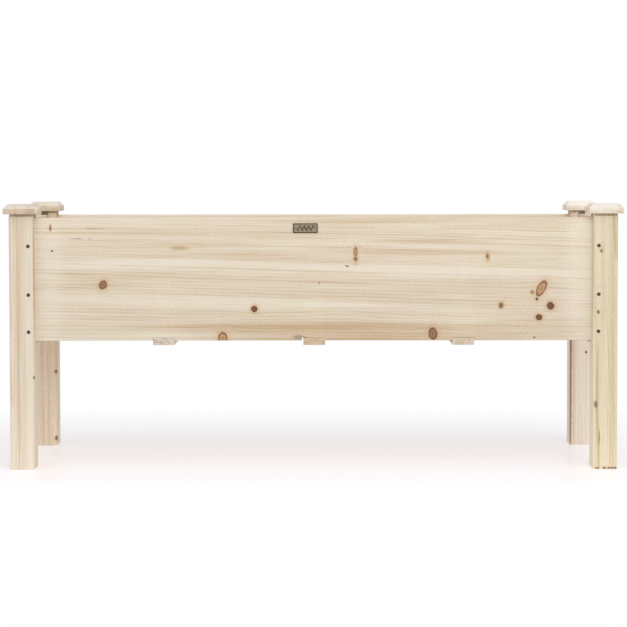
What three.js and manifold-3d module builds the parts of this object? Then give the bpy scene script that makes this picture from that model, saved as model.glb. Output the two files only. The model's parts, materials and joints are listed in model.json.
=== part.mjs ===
// Raised planter on legs: four grooved corner posts, a box of slotted-in panels, and a slatted floor
// on three cross battens. Millimetres, +Z up. The origin is on the ground under the middle of the
// planter, the long sides run along X, and the front faces -Y.
import * as THREE from 'three';
import { mergeVertices } from 'three/addons/utils/BufferGeometryUtils.js';
import Module from 'manifold-3d';

// ---- Driving dimensions ----
const LENGTH = 1829; // over the caps, along X
const DEPTH = 584; // over the caps, along Y
const HEIGHT = 787; // ground to the top of the caps
const GAP = 0.3; // between pieces that touch

const CAP_THICKNESS = 29;
const CAP_CHAMFER = 12.5;
const CAP_OVERHANG = 14.5; // past the post's faces, all round

const POST_SIDE = 72;
const POST_EDGE_RADIUS = 2.5;

const PANEL_THICKNESS = 20;
const PANEL_HEIGHT = 365.5;
const PANEL_BOTTOM = 380.5; // above the ground
const TONGUE = 22.5; // length of a panel's end that sits in the post's groove

const BATTEN_WIDTH = 65;
const BATTEN_THICKNESS = 22;
const BATTEN_NOTCH = 9; // how far a batten is let up into the panels
const BATTEN_SPACING = 445;
const MIDDLE_NOTCH_SLACK = 3.5; // the middle notches are cut wider than their batten, which sits to +X

const FLOOR_BOARDS = 5;
const FLOOR_BOARD_WIDTH = 86;
const FLOOR_BOARD_THICKNESS = 12;
const LEDGER_WIDTH = 22;
const FLOOR_END_CLEARANCE = 2;

const SCREW_HEAD_RADIUS = 5.25;
const SCREW_RADIUS = 2.4;
const SCREW_HEAD_RIM = 0.6;
const SCREW_HEAD_DEPTH = 3.6;
const SCREW_POINT = 6;
const SCREW_SIDES = 12;
const SCREW_CLEARANCE = 0.3;
const PANEL_SCREW_LENGTH = 50;
const PANEL_SCREW_INSET = 15; // from the post's inner edge
const PANEL_SCREW_HEIGHTS = { upper: 663, middle: 519, lower: 409 };
const BATTEN_SCREW_LENGTH = 45;

const DOWEL_RADIUS = 5;
const DOWEL_LENGTH = 40;
const DOWEL_IN_CAP = 15;

const PLATE = { width: 73.5, height: 28.5, thickness: 1.6, corner: 2, x: -24, z: 715 };

// ---- Worked out from them ----
const postX = LENGTH / 2 - CAP_OVERHANG - POST_SIDE / 2;
const postY = DEPTH / 2 - CAP_OVERHANG - POST_SIDE / 2;
const postHeight = HEIGHT - CAP_THICKNESS - GAP;
const capSide = POST_SIDE + 2 * CAP_OVERHANG;
const grooveDepth = TONGUE + GAP;
const panelScrewX = POST_SIDE / 2 - PANEL_SCREW_INSET;
const innerX = postX - PANEL_THICKNESS / 2; // inner face of an end panel
const battenTop = PANEL_BOTTOM + BATTEN_NOTCH - GAP;
const battenBottom = battenTop - BATTEN_THICKNESS;
const battenLength = 2 * postY + PANEL_THICKNESS - 2 * GAP;
const floorBottom = battenTop + GAP;

const wasm = await Module();
wasm.setup();

// ---- Materials ----
function wood(color, roughness) {
  return new THREE.MeshStandardMaterial({ color, roughness, metalness: 0 });
}
const materials = {
  post: () => wood(0xe0d2b0, 0.62),
  panel: () => wood(0xe2d6c0, 0.6),
  cap: () => wood(0xe6dac0, 0.58),
  batten: () => wood(0xd3b98f, 0.7),
  floor: () => wood(0xdccaa6, 0.72),
  dowel: () => wood(0xc9a878, 0.6),
  screw: () => new THREE.MeshStandardMaterial({ color: 0x4a4038, roughness: 0.42, metalness: 0.85 }),
  plate: () => new THREE.MeshStandardMaterial({ color: 0x8a7d6c, roughness: 0.45, metalness: 0.55 }),
};

// ---- Solids ----
function toSolid(geometry) {
  const bare = geometry.index ? geometry.clone() : geometry;
  bare.deleteAttribute('normal');
  bare.deleteAttribute('uv');
  const merged = mergeVertices(bare, 1e-4);
  const vertProperties = new Float32Array(merged.attributes.position.array);
  const triVerts = new Uint32Array(merged.index.array);
  return new wasm.Manifold(new wasm.Mesh({ numProp: 3, vertProperties, triVerts }));
}

function toGeometry(solid) {
  const mesh = solid.getMesh();
  const geometry = new THREE.BufferGeometry();
  geometry.setAttribute('position', new THREE.BufferAttribute(mesh.vertProperties, 3));
  geometry.setIndex(new THREE.BufferAttribute(mesh.triVerts, 1));
  geometry.computeVertexNormals();
  return geometry;
}

function cut(geometry, cutters) {
  let solid = toSolid(geometry);
  for (const cutter of cutters) {
    solid = solid.subtract(toSolid(cutter));
  }
  return toGeometry(solid);
}

function box(low, high) {
  const size = high.map((value, axis) => value - low[axis]);
  const middle = high.map((value, axis) => (value + low[axis]) / 2);
  return new THREE.BoxGeometry(...size).translate(...middle);
}

function roundedRectangle(width, height, radius) {
  const [x, y] = [width / 2 - radius, height / 2 - radius];
  const shape = new THREE.Shape();
  shape.absarc(x, y, radius, 0, Math.PI / 2);
  shape.absarc(-x, y, radius, Math.PI / 2, Math.PI);
  shape.absarc(-x, -y, radius, Math.PI, 1.5 * Math.PI);
  shape.absarc(x, -y, radius, 1.5 * Math.PI, 2 * Math.PI);
  shape.closePath();
  return shape;
}

// A countersunk screw along +Y: its head is flush at y = 0. The hole for it is the same shape
// grown by a clearance, and it starts just outside the face.
function screwGeometry(length, grow = 0) {
  const lead = grow > 0 ? 1 : 0;
  const profile = [
    [0, -lead],
    [SCREW_HEAD_RADIUS + grow, -lead],
    [SCREW_HEAD_RADIUS + grow, SCREW_HEAD_RIM + grow],
    [SCREW_RADIUS + grow, SCREW_HEAD_DEPTH + grow],
    [SCREW_RADIUS + grow, length - SCREW_POINT + grow],
    [0, length + 2 * grow],
  ];
  const points = profile.map(([radius, along]) => new THREE.Vector2(radius, along));
  return new THREE.LatheGeometry(points, SCREW_SIDES);
}

function screwHole(length) {
  return screwGeometry(length, SCREW_CLEARANCE);
}

function addMesh(group, name, geometry, material) {
  const mesh = new THREE.Mesh(geometry, material);
  mesh.name = name;
  group.add(mesh);
  return mesh;
}

// ---- Corner posts ----
// Built for the front left corner, about the post's axis: grooves in the +X and +Y faces, screw
// holes in the -Y and -X faces. The other three corners are the same post, turned.
function postGeometry() {
  const section = roundedRectangle(POST_SIDE, POST_SIDE, POST_EDGE_RADIUS);
  const blank = new THREE.ExtrudeGeometry(section, {
    depth: postHeight, bevelEnabled: false, curveSegments: 3,
  });
  const half = POST_SIDE / 2;
  const grooveHalf = PANEL_THICKNESS / 2 + GAP;
  const groove = box(
    [half - grooveDepth, -grooveHalf, PANEL_BOTTOM - GAP],
    [half + 1, grooveHalf, postHeight + 1],
  );
  const cutters = [groove, groove.clone().rotateZ(Math.PI / 2)];
  for (const height of Object.values(PANEL_SCREW_HEIGHTS)) {
    const hole = screwHole(PANEL_SCREW_LENGTH);
    cutters.push(hole.clone().translate(panelScrewX, -half, height));
    cutters.push(hole.rotateZ(-Math.PI / 2).translate(-half, panelScrewX, height));
  }
  cutters.push(dowelHole(DOWEL_LENGTH - DOWEL_IN_CAP, -1).translate(0, 0, postHeight));
  return cut(blank, cutters);
}

// ---- Caps and their dowels ----
function dowelGeometry(radius, length) {
  return new THREE.CylinderGeometry(radius, radius, length, 16).rotateX(Math.PI / 2);
}

// A blind hole from z = 0, upwards or downwards, open at z = 0.
function dowelHole(depth, direction) {
  const length = depth + GAP + 1;
  return dowelGeometry(DOWEL_RADIUS + GAP, length).translate(0, 0, direction * (length / 2 - 1));
}

function capGeometry() {
  const half = capSide / 2;
  const shoulder = CAP_THICKNESS - CAP_CHAMFER;
  const profile = new THREE.Shape();
  profile.moveTo(-half, 0);
  profile.lineTo(half, 0);
  profile.lineTo(half, shoulder);
  profile.lineTo(half - CAP_CHAMFER, CAP_THICKNESS);
  profile.lineTo(CAP_CHAMFER - half, CAP_THICKNESS);
  profile.lineTo(-half, shoulder);
  profile.closePath();
  const oneWay = new THREE.ExtrudeGeometry(profile, { depth: capSide, bevelEnabled: false });
  oneWay.rotateX(Math.PI / 2).translate(0, half, 0);
  const otherWay = oneWay.clone().rotateZ(Math.PI / 2);
  const chamfered = toSolid(oneWay).intersect(toSolid(otherWay));
  return toGeometry(chamfered.subtract(toSolid(dowelHole(DOWEL_IN_CAP, 1))));
}

// ---- Panels ----
// Built along X about the panel's middle, bottom edge at z = 0, outer face towards -Y.
function panelGeometry(betweenPosts, extraCutters) {
  const half = betweenPosts / 2 + TONGUE;
  const blank = box(
    [-half, -PANEL_THICKNESS / 2, 0],
    [half, PANEL_THICKNESS / 2, PANEL_HEIGHT],
  );
  const screwX = betweenPosts / 2 + PANEL_SCREW_INSET;
  const holes = [];
  for (const side of [-1, 1]) {
    for (const height of Object.values(PANEL_SCREW_HEIGHTS)) {
      const hole = screwHole(PANEL_SCREW_LENGTH);
      holes.push(hole.translate(side * screwX, -POST_SIDE / 2, height - PANEL_BOTTOM));
    }
  }
  return cut(blank, [...holes, ...extraCutters]);
}

const battenPlaces = {
  left: -BATTEN_SPACING,
  middle: MIDDLE_NOTCH_SLACK / 2,
  right: BATTEN_SPACING,
};

// side is -1 for the front panel and 1 for the rear one, which is the same board turned round.
function longPanelGeometry(side) {
  const cutters = [];
  for (const [place, x] of Object.entries(battenPlaces)) {
    const slack = place === 'middle' ? MIDDLE_NOTCH_SLACK : 0;
    const half = BATTEN_WIDTH / 2 + GAP;
    cutters.push(box([x - half - slack, -PANEL_THICKNESS, -1], [x + half, PANEL_THICKNESS, BATTEN_NOTCH]));
    const hole = screwHole(BATTEN_SCREW_LENGTH).rotateX(Math.PI / 2);
    cutters.push(hole.translate(-side * x, 0, battenBottom - PANEL_BOTTOM));
  }
  return panelGeometry(2 * postX - POST_SIDE, cutters);
}

// ---- Floor ----
function battenGeometry() {
  const blank = new THREE.BoxGeometry(BATTEN_WIDTH, battenLength, BATTEN_THICKNESS);
  const holes = [-1, 1].map((side) => {
    const hole = screwHole(BATTEN_SCREW_LENGTH).rotateX(Math.PI / 2);
    return hole.translate(0, side * postY, -BATTEN_THICKNESS / 2);
  });
  return cut(blank, holes);
}

function floorBoardGeometry(y) {
  const halfLength = innerX - FLOOR_END_CLEARANCE;
  const half = FLOOR_BOARD_WIDTH / 2;
  const low = [-halfLength, -half, 0];
  const high = [halfLength, half, FLOOR_BOARD_THICKNESS];
  const postInner = postX - POST_SIDE / 2 - FLOOR_END_CLEARANCE;
  const notchFrom = postY - POST_SIDE / 2 - FLOOR_END_CLEARANCE;
  if (Math.abs(y) + half < notchFrom) {
    return box(low, high);
  }
  const side = Math.sign(y);
  const inner = notchFrom - Math.abs(y);
  const [nearY, farY] = side > 0 ? [inner, half + 1] : [-half - 1, -inner];
  const notches = [-1, 1].map((end) => {
    const [nearX, farX] = end > 0 ? [postInner, halfLength + 1] : [-halfLength - 1, -postInner];
    return box([nearX, nearY, -1], [farX, farY, FLOOR_BOARD_THICKNESS + 1]);
  });
  return cut(box(low, high), notches);
}

// ---- Assembly ----
const planter = new THREE.Group();

const corners = [
  { name: 'front_left', x: -1, y: -1, turn: 0 },
  { name: 'front_right', x: 1, y: -1, turn: 1 },
  { name: 'rear_right', x: 1, y: 1, turn: 2 },
  { name: 'rear_left', x: -1, y: 1, turn: 3 },
];

for (const corner of corners) {
  const group = new THREE.Group();
  group.position.set(corner.x * postX, corner.y * postY, 0);
  group.rotation.z = corner.turn * Math.PI / 2;
  planter.add(group);

  addMesh(group, `post_${corner.name}`, postGeometry(), materials.post());
  const cap = addMesh(group, `cap_${corner.name}`, capGeometry(), materials.cap());
  cap.position.z = HEIGHT - CAP_THICKNESS;
  const dowel = dowelGeometry(DOWEL_RADIUS, DOWEL_LENGTH);
  const pin = addMesh(group, `cap_dowel_${corner.name}`, dowel, materials.dowel());
  pin.position.z = HEIGHT - CAP_THICKNESS + DOWEL_IN_CAP - DOWEL_LENGTH / 2;

  // The screws through the -Y face hold a long panel on an even turn, and an end panel on an odd one.
  const sides = corner.turn % 2 === 0 ? ['long', 'end'] : ['end', 'long'];
  for (const [level, height] of Object.entries(PANEL_SCREW_HEIGHTS)) {
    const names = sides.map((side) => `${side}_screw_${corner.name}_${level}`);
    const first = addMesh(group, names[0], screwGeometry(PANEL_SCREW_LENGTH), materials.screw());
    first.position.set(panelScrewX, -POST_SIDE / 2, height);
    const second = addMesh(group, names[1], screwGeometry(PANEL_SCREW_LENGTH), materials.screw());
    second.position.set(-POST_SIDE / 2, panelScrewX, height);
    second.rotation.z = -Math.PI / 2;
  }
}

for (const [name, side] of [['front_panel', -1], ['rear_panel', 1]]) {
  const panel = addMesh(planter, name, longPanelGeometry(side), materials.panel());
  panel.position.set(0, side * postY, PANEL_BOTTOM);
  panel.rotation.z = side > 0 ? Math.PI : 0;
}

for (const [name, side] of [['left_end_panel', -1], ['right_end_panel', 1]]) {
  const panel = addMesh(planter, name, panelGeometry(2 * postY - POST_SIDE, []), materials.panel());
  panel.position.set(side * postX, 0, PANEL_BOTTOM);
  panel.rotation.z = side * Math.PI / 2;
}

for (const [place, x] of Object.entries(battenPlaces)) {
  const batten = addMesh(planter, `floor_batten_${place}`, battenGeometry(), materials.batten());
  batten.position.set(x, 0, battenBottom + BATTEN_THICKNESS / 2);
  for (const [end, side] of [['front', -1], ['rear', 1]]) {
    const name = `batten_screw_${place}_${end}`;
    const screw = addMesh(planter, name, screwGeometry(BATTEN_SCREW_LENGTH), materials.screw());
    screw.position.set(x, side * postY, battenBottom);
    screw.rotation.x = Math.PI / 2;
  }
}

for (const [name, side] of [['floor_ledger_left', -1], ['floor_ledger_right', 1]]) {
  const length = 2 * postY - POST_SIDE - 2 * FLOOR_END_CLEARANCE;
  const strip = new THREE.BoxGeometry(LEDGER_WIDTH, length, BATTEN_THICKNESS);
  const ledger = addMesh(planter, name, strip, materials.batten());
  const x = innerX - GAP - LEDGER_WIDTH / 2;
  ledger.position.set(side * x, 0, battenBottom + BATTEN_THICKNESS / 2);
}

const floorSpan = 2 * postY - PANEL_THICKNESS;
const floorPitch = (floorSpan + FLOOR_BOARD_WIDTH) / (FLOOR_BOARDS + 1);
for (let index = 0; index < FLOOR_BOARDS; index += 1) {
  const y = (index - (FLOOR_BOARDS - 1) / 2) * floorPitch;
  const board = addMesh(planter, `floor_board_${index + 1}`, floorBoardGeometry(y), materials.floor());
  board.position.set(0, y, floorBottom);
}

// ---- Blank name plate on the front panel ----
const plateOutline = roundedRectangle(PLATE.width, PLATE.height, PLATE.corner);
const plateGeometry = new THREE.ExtrudeGeometry(plateOutline, {
  depth: PLATE.thickness, bevelEnabled: false, curveSegments: 4,
});
const plate = addMesh(planter, 'name_plate', plateGeometry, materials.plate());
plate.rotation.x = Math.PI / 2;
plate.position.set(PLATE.x, -postY - PANEL_THICKNESS / 2 - GAP, PLATE.z);

export default planter;
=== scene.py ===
"""Looks for a raised planter on legs: every board is solid fir, with its own rings, fibres and knots.

All lengths are metres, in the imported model's frame: X along the bed, the front faces -Y, +Z is up.
"""
import json
import math

import bmesh
import bpy
from mathutils import Matrix, Vector, noise

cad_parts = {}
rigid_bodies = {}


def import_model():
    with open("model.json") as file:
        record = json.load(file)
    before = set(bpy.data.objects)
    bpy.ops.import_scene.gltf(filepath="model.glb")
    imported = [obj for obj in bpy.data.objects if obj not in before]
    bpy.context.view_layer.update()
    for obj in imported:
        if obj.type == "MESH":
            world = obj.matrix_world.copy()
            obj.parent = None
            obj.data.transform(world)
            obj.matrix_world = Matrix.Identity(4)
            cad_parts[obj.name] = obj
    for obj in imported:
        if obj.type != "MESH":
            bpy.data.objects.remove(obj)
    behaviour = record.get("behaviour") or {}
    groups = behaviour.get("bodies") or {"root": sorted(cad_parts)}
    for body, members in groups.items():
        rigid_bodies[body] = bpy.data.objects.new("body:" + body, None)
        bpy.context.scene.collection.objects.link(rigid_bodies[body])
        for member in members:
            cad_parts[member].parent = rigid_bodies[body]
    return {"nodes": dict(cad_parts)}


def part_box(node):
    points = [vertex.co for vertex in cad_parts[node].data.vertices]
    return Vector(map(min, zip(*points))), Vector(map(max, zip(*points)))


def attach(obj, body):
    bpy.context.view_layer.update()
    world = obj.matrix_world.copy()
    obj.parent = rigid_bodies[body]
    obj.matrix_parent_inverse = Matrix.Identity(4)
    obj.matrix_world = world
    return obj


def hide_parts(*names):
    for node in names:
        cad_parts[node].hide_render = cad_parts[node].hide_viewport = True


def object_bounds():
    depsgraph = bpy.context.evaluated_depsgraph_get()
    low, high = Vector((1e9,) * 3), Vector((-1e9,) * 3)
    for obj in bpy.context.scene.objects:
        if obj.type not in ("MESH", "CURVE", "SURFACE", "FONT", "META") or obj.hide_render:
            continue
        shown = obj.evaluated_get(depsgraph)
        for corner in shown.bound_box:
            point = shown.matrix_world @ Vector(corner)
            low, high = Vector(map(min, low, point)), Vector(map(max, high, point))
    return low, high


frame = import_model()
CAD_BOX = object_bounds()
BODY = "root"
AXES = {"x": 0, "y": 1, "z": 2}

# ---- Camera ----
CAMERA_ASIDE = -0.0038
CAMERA_HEIGHT = 0.8703
CAMERA_TO_FRONT = 5.3164
CAMERA_PITCH = math.radians(2.338)
CAMERA_YAW = math.radians(-0.042)
CAMERA_ROLL = math.radians(-0.087)
CAMERA_LENS = 103.76
CAMERA_SHIFT = -0.1021  # The photo's upright edges hardly converge.

# ---- Board shapes ----
EDGE_RADIUS = 0.0022
CORNER_STEPS = 4
STATION_PITCH = 0.045
WANDER = 0.00025
CAP_CHAMFER = 0.0125
PANEL_THICKNESS = 0.020
PANEL_TONGUE = 0.0225
MIDDLE_NOTCH_SLACK = 0.0035
BATTENS = ("left", "middle", "right")
GAP = 0.0003
POST_HALF = 0.036
CUT_PAST = 0.01  # How far a cutter reaches past the surface it opens.
NOISE_SEED = 7
SMOOTH_ANGLE = math.radians(35)
CAP_SMOOTH_ANGLE = math.radians(25)

# ---- Colours, sRGB 0 to 255 ----
FIR_LIGHT = (238, 227, 207)
FIR_DARK = (202, 173, 134)
KNOT_HALO = (212, 176, 132)
# Each kind of knot: its wood, its rim, how strong its halo is, and how soft its edge is.
KNOT_KINDS = {
    "tan": ((206, 164, 116), (112, 72, 44), 0.45, 0.12),
    "brown": ((166, 124, 88), (100, 66, 42), 0.72, 0.18),
    "dark": ((136, 86, 58), (80, 50, 34), 0.85, 0.18),
    "soft": ((128, 98, 58), (150, 114, 72), 0.85, 0.55),
    "pin": ((98, 70, 46), (90, 64, 42), 0.25, 0.30),
    "stain": ((164, 136, 110), (150, 120, 94), 0.10, 0.40),
    "bark": ((180, 166, 136), (142, 130, 102), 0.30, 0.60),
}


# Left alone, noise_vector takes its offsets from the clock.
noise.seed_set(NOISE_SEED)


def srgb(colour, alpha=1.0):
    """Linear RGBA from 0 to 255 sRGB."""
    linear = [
        c / 12.92 if c <= 0.04045 else ((c + 0.055) / 1.055) ** 2.4
        for c in (value / 255 for value in colour)
    ]
    return (*linear, alpha)


# ---- Fields: numbers that vary over a surface ----

def plug(tree, socket, value):
    """Links a field or a socket to an input, or sets a plain value on it."""
    if isinstance(value, Field):
        tree.links.new(value.socket, socket)
    elif isinstance(value, bpy.types.NodeSocket):
        tree.links.new(value, socket)
    else:
        socket.default_value = value


class Field:
    """Arithmetic on a field adds Math nodes to its material."""

    def __init__(self, tree, socket):
        self.tree = tree
        self.socket = socket

    def math(self, operation, *others):
        node = self.tree.nodes.new("ShaderNodeMath")
        node.operation = operation
        for socket, value in zip(node.inputs, (self, *others)):
            plug(self.tree, socket, value)
        return Field(self.tree, node.outputs[0])

    def __add__(self, other):
        return self.math("ADD", other)

    def __sub__(self, other):
        return self.math("SUBTRACT", other)

    def __rsub__(self, other):
        return self.math("MULTIPLY_ADD", -1.0, other)

    def __mul__(self, other):
        return self.math("MULTIPLY", other)

    def __truediv__(self, other):
        return self.math("DIVIDE", other)

    def to_power(self, exponent):
        return self.math("POWER", exponent)

    def limited(self, low=0.0, high=1.0):
        return self.math("MAXIMUM", low).math("MINIMUM", high)

    def ramp(self, low, high):
        """0 below low, 1 above high, smooth between. low may be the larger."""
        node = self.tree.nodes.new("ShaderNodeMapRange")
        node.interpolation_type = "SMOOTHSTEP"
        plug(self.tree, node.inputs["Value"], self)
        node.inputs["From Min"].default_value = low
        node.inputs["From Max"].default_value = high
        return Field(self.tree, node.outputs["Result"])

    def bell(self):
        """1 at 0, falling to nothing by 2."""
        return (self * self * -1.0).math("EXPONENT")


class Space:
    """One material, and the surface's place along, across and into the grain, in metres."""

    def __init__(self, name, axes, seed):
        self.material = bpy.data.materials.new(name)
        self.material.use_nodes = True
        self.tree = self.material.node_tree
        self.tree.nodes.clear()
        coordinates = self.tree.nodes.new("ShaderNodeTexCoord")
        split = self.tree.nodes.new("ShaderNodeSeparateXYZ")
        self.tree.links.new(coordinates.outputs["Object"], split.inputs[0])
        fields = [Field(self.tree, split.outputs[AXES[axis]]) for axis in axes]
        self.along, self.across, self.depth = fields
        self.place = self.vector(*fields)
        self.seed = seed

    def vector(self, x, y, z):
        node = self.tree.nodes.new("ShaderNodeCombineXYZ")
        for socket, value in zip(node.inputs, (x, y, z)):
            plug(self.tree, socket, value)
        return node.outputs[0]

    def noise(self, pitch, detail=2.0, rough=0.5, salt=0.0):
        """Noise from about -0.5 to 0.5, with one size along, across and into the grain."""
        mapping = self.tree.nodes.new("ShaderNodeMapping")
        self.tree.links.new(self.place, mapping.inputs["Vector"])
        mapping.inputs["Scale"].default_value = [1 / size for size in pitch]
        shift = self.seed * 7.31 + salt * 3.17
        mapping.inputs["Location"].default_value = (shift, shift * 1.7, shift * 0.6)
        texture = self.tree.nodes.new("ShaderNodeTexNoise")
        self.tree.links.new(mapping.outputs[0], texture.inputs["Vector"])
        texture.inputs["Scale"].default_value = 1.0
        texture.inputs["Detail"].default_value = detail
        texture.inputs["Roughness"].default_value = rough
        return Field(self.tree, texture.outputs[0]) - 0.5

    def ellipse(self, centre, radii, tilt=0.0, vector=None, depth=(0.0, 1000.0)):
        """Distance from a centre, counted in radii. depth is the centre's depth and the radius
        there, which reaches through the board unless one is given."""
        mapping = self.tree.nodes.new("ShaderNodeMapping")
        mapping.vector_type = "TEXTURE"
        plug(self.tree, mapping.inputs["Vector"], vector or self.place)
        mapping.inputs["Location"].default_value = (*centre, depth[0])
        mapping.inputs["Rotation"].default_value = (0.0, 0.0, math.radians(tilt))
        mapping.inputs["Scale"].default_value = (*radii, depth[1])
        length = self.tree.nodes.new("ShaderNodeVectorMath")
        length.operation = "LENGTH"
        self.tree.links.new(mapping.outputs[0], length.inputs[0])
        return Field(self.tree, length.outputs["Value"])

    def per_ring(self, number):
        """A random value from 0 to 1 for each whole number."""
        node = self.tree.nodes.new("ShaderNodeTexWhiteNoise")
        node.noise_dimensions = "1D"
        plug(self.tree, node.inputs["W"], number + self.seed * 11.7)
        return Field(self.tree, node.outputs["Value"])

    def mix(self, share, first, second):
        """Colours or colour sockets, mixed by a field."""
        node = self.tree.nodes.new("ShaderNodeMix")
        node.data_type = "RGBA"
        plug(self.tree, node.inputs[0], share)
        plug(self.tree, node.inputs[6], first)
        plug(self.tree, node.inputs[7], second)
        return node.outputs[2]

    def finish(self, colour, roughness, height, bump_depth, metallic=0.0):
        """The shader itself, with bump from a height field."""
        shader = self.tree.nodes.new("ShaderNodeBsdfPrincipled")
        plug(self.tree, shader.inputs["Base Color"], colour)
        plug(self.tree, shader.inputs["Roughness"], roughness)
        shader.inputs["Metallic"].default_value = metallic
        shader.inputs["Specular IOR Level"].default_value = 0.5
        bump = self.tree.nodes.new("ShaderNodeBump")
        bump.inputs["Strength"].default_value = 1.0
        bump.inputs["Distance"].default_value = bump_depth
        plug(self.tree, bump.inputs["Height"], height)
        self.tree.links.new(bump.outputs[0], shader.inputs["Normal"])
        output = self.tree.nodes.new("ShaderNodeOutputMaterial")
        self.tree.links.new(shader.outputs[0], output.inputs["Surface"])
        return self.material


# ---- Fir ----

def log_rings(pith, ring_width, lean=(0.0, 0.0)):
    """Rings round a straight pith that runs beside the board. pith is across and into the grain."""

    def phase(space, across):
        wander = space.noise((0.9, 0.25, 0.25), detail=1.0, salt=1.0) * 0.022
        side = across - space.along * lean[0] - pith[0] + wander
        into = space.depth - space.along * lean[1] - pith[1] - wander
        distance = (side * side + into * into).math("SQRT")
        return distance / ring_width

    return phase


def fir(name, axes, rings, seed, knots=(), patches=(), light=FIR_LIGHT, dark=FIR_DARK,
        line_strength=0.62, fine=1.0, rough=0.52):
    """Solid fir. Each knot is a kind, then its place along and across, its radii along and across,
    and its tilt, in metres and degrees. A knot that doesn't go through ends with its depth and
    the radius there. A patch has the same five numbers and a strength, darker above zero and paler
    below. line_strength is a number, or a function of the space."""
    space = Space(name, axes, seed)
    jittered = space.vector(
        space.along + space.noise((0.010, 0.008, 0.02), salt=2.0) * 0.0045,
        space.across + space.noise((0.010, 0.008, 0.02), salt=3.0) * 0.0045,
        space.depth,
    )

    # The grain parts round each knot.
    across = space.across + space.noise((0.30, 0.02, 0.05), detail=3.0, salt=4.0) * 0.007
    for kind, along, middle, reach, width, *_ in knots:
        if kind != "pin":
            nearness = space.ellipse((along, middle), (2.8 * reach, 2.0 * width)).bell()
            across = across - (space.across - middle) * nearness * 0.64

    phase = rings(space, across)
    phase = phase + space.noise((0.5, 0.012, 0.012), detail=2.0, salt=5.0) * 0.6
    number = phase.math("FLOOR")
    part = phase.math("FRACT")
    line_gain = line_strength(space) if callable(line_strength) else line_strength
    broken = space.noise((0.14, 0.009, 0.02), detail=2.0, salt=13.0) * 2.2 + 1.0
    strength = (space.per_ring(number) * 0.95 + 0.12) * broken.limited(0.15, 1.8)
    line = part.to_power(1.7) * part.ramp(1.0, 0.82) * strength

    fibre = space.noise((0.05, 0.0011, 0.0011), detail=3.0, rough=0.6, salt=6.0)
    fleck = space.noise((0.009, 0.0030, 0.005), detail=3.0, rough=0.65, salt=9.0)
    streak = space.noise((0.35, 0.0055, 0.010), detail=3.0, rough=0.6, salt=7.0)
    cloud = space.noise((0.50, 0.030, 0.05), detail=2.0, salt=8.0)
    darkness = line * line_gain + fibre * (0.30 * fine) + fleck * 0.78 + streak * 0.72
    darkness = darkness + cloud * 0.60 + 0.18
    for along, middle, reach, width, tilt, amount in patches:
        falloff = space.ellipse((along, middle), (reach, width), tilt)
        darkness = darkness + (falloff * falloff).bell() * amount
    blush = space.noise((0.20, 0.018, 0.03), detail=2.0, salt=12.0) * 1.8 + 0.5
    pink = (light[0] + 1, light[1] - 2, light[2] + 3)
    green = (light[0] - 1, light[1] + 1, light[2] - 3)
    pale = space.mix(blush.limited(), srgb(green), srgb(pink))
    colour = space.mix(darkness.limited(), pale, srgb(dark))

    for kind in KNOT_KINDS:
        group = [knot[1:] for knot in knots if knot[0] == kind]
        if group:
            colour = add_knots(space, colour, jittered, group, *KNOT_KINDS[kind])
    height = line * 0.5 + fibre
    roughness = streak * 0.12 + rough
    return space.finish(colour, roughness, height, 0.00012)


def add_knots(space, colour, vector, knots, wood, rim, halo, softness):
    """Ovals with rings of their own, a dark heart and rim, and an orange halo."""
    nearest = None
    for along, middle, reach, width, tilt, *depth in knots:
        distance = space.ellipse((along, middle), (reach, width), tilt, vector, *depth)
        nearest = distance if nearest is None else nearest.math("MINIMUM", distance)
    glow = ((nearest - 0.8).math("MAXIMUM", 0.0) * 1.2).bell() * halo
    colour = space.mix(glow, colour, srgb(KNOT_HALO))
    edge = ((nearest - 0.88) * 4.5).bell() * 0.85
    heart = (nearest * 4.0).bell() * 0.55
    rings = (nearest * 2.8).math("FRACT").to_power(2.0) * 0.5
    grain = space.noise((0.0035, 0.0025, 0.01), detail=3.0, salt=10.0) * 0.8
    darkening = (edge.math("MAXIMUM", heart).math("MAXIMUM", rings) + grain).limited()
    inside = space.mix(darkening, srgb(wood), srgb(rim))
    return space.mix(nearest.ramp(1.0 + softness, 1.0 - softness), colour, inside)


# The front panel is drawn from its own ring lines: a fine, straight upper half, a pale band that
# falls to the right, broad rings below it, and a pale wedge whose point is towards the right.
WEDGE_FROM = (-0.81, 0.508)
WEDGE_POINT = (0.54, 0.468)
WEDGE_HALF_HEIGHT = 0.021
BROAD_RING = 0.0105
FINE_RING = 0.0054
FINE_FROM = 0.115


def front_rings(space, across):
    run = WEDGE_POINT[0] - WEDGE_FROM[0]
    slope = (WEDGE_POINT[1] - WEDGE_FROM[1]) / run
    middle_height = across.ramp(0.745, 0.64) * across.ramp(0.385, 0.46) * 0.67 + 0.33
    fall = (space.along - WEDGE_FROM[0]) * middle_height * slope
    offset = across - WEDGE_FROM[1] - fall
    offset = offset + space.ellipse((0.09, 0.462), (0.13, 0.030)).bell() * -0.009
    narrowing = (1.0 - (space.along - WEDGE_FROM[0]) / run).limited() * WEDGE_HALF_HEIGHT
    square = offset * offset - narrowing * narrowing
    outside = square.math("MAXIMUM", 0.0).math("SQRT")
    inside = square.math("MINIMUM", 0.0) * 900.0
    above = offset.ramp(-0.0005, 0.0005)
    broad = outside / BROAD_RING
    fine = (outside - FINE_FROM).math("MAXIMUM", 0.0) * (1 / FINE_RING - 1 / BROAD_RING)
    upper = (broad + fine) * above
    lower = outside / BROAD_RING * (1.0 - above) * 0.9
    return upper + lower + inside + space.depth * 60.0 + 40.0


def front_line_strength(space):
    """Ring lines are stronger in the upper half."""
    return space.across.ramp(0.55, 0.61) * 0.29 + 0.49


# ---- Mesh work ----

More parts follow.
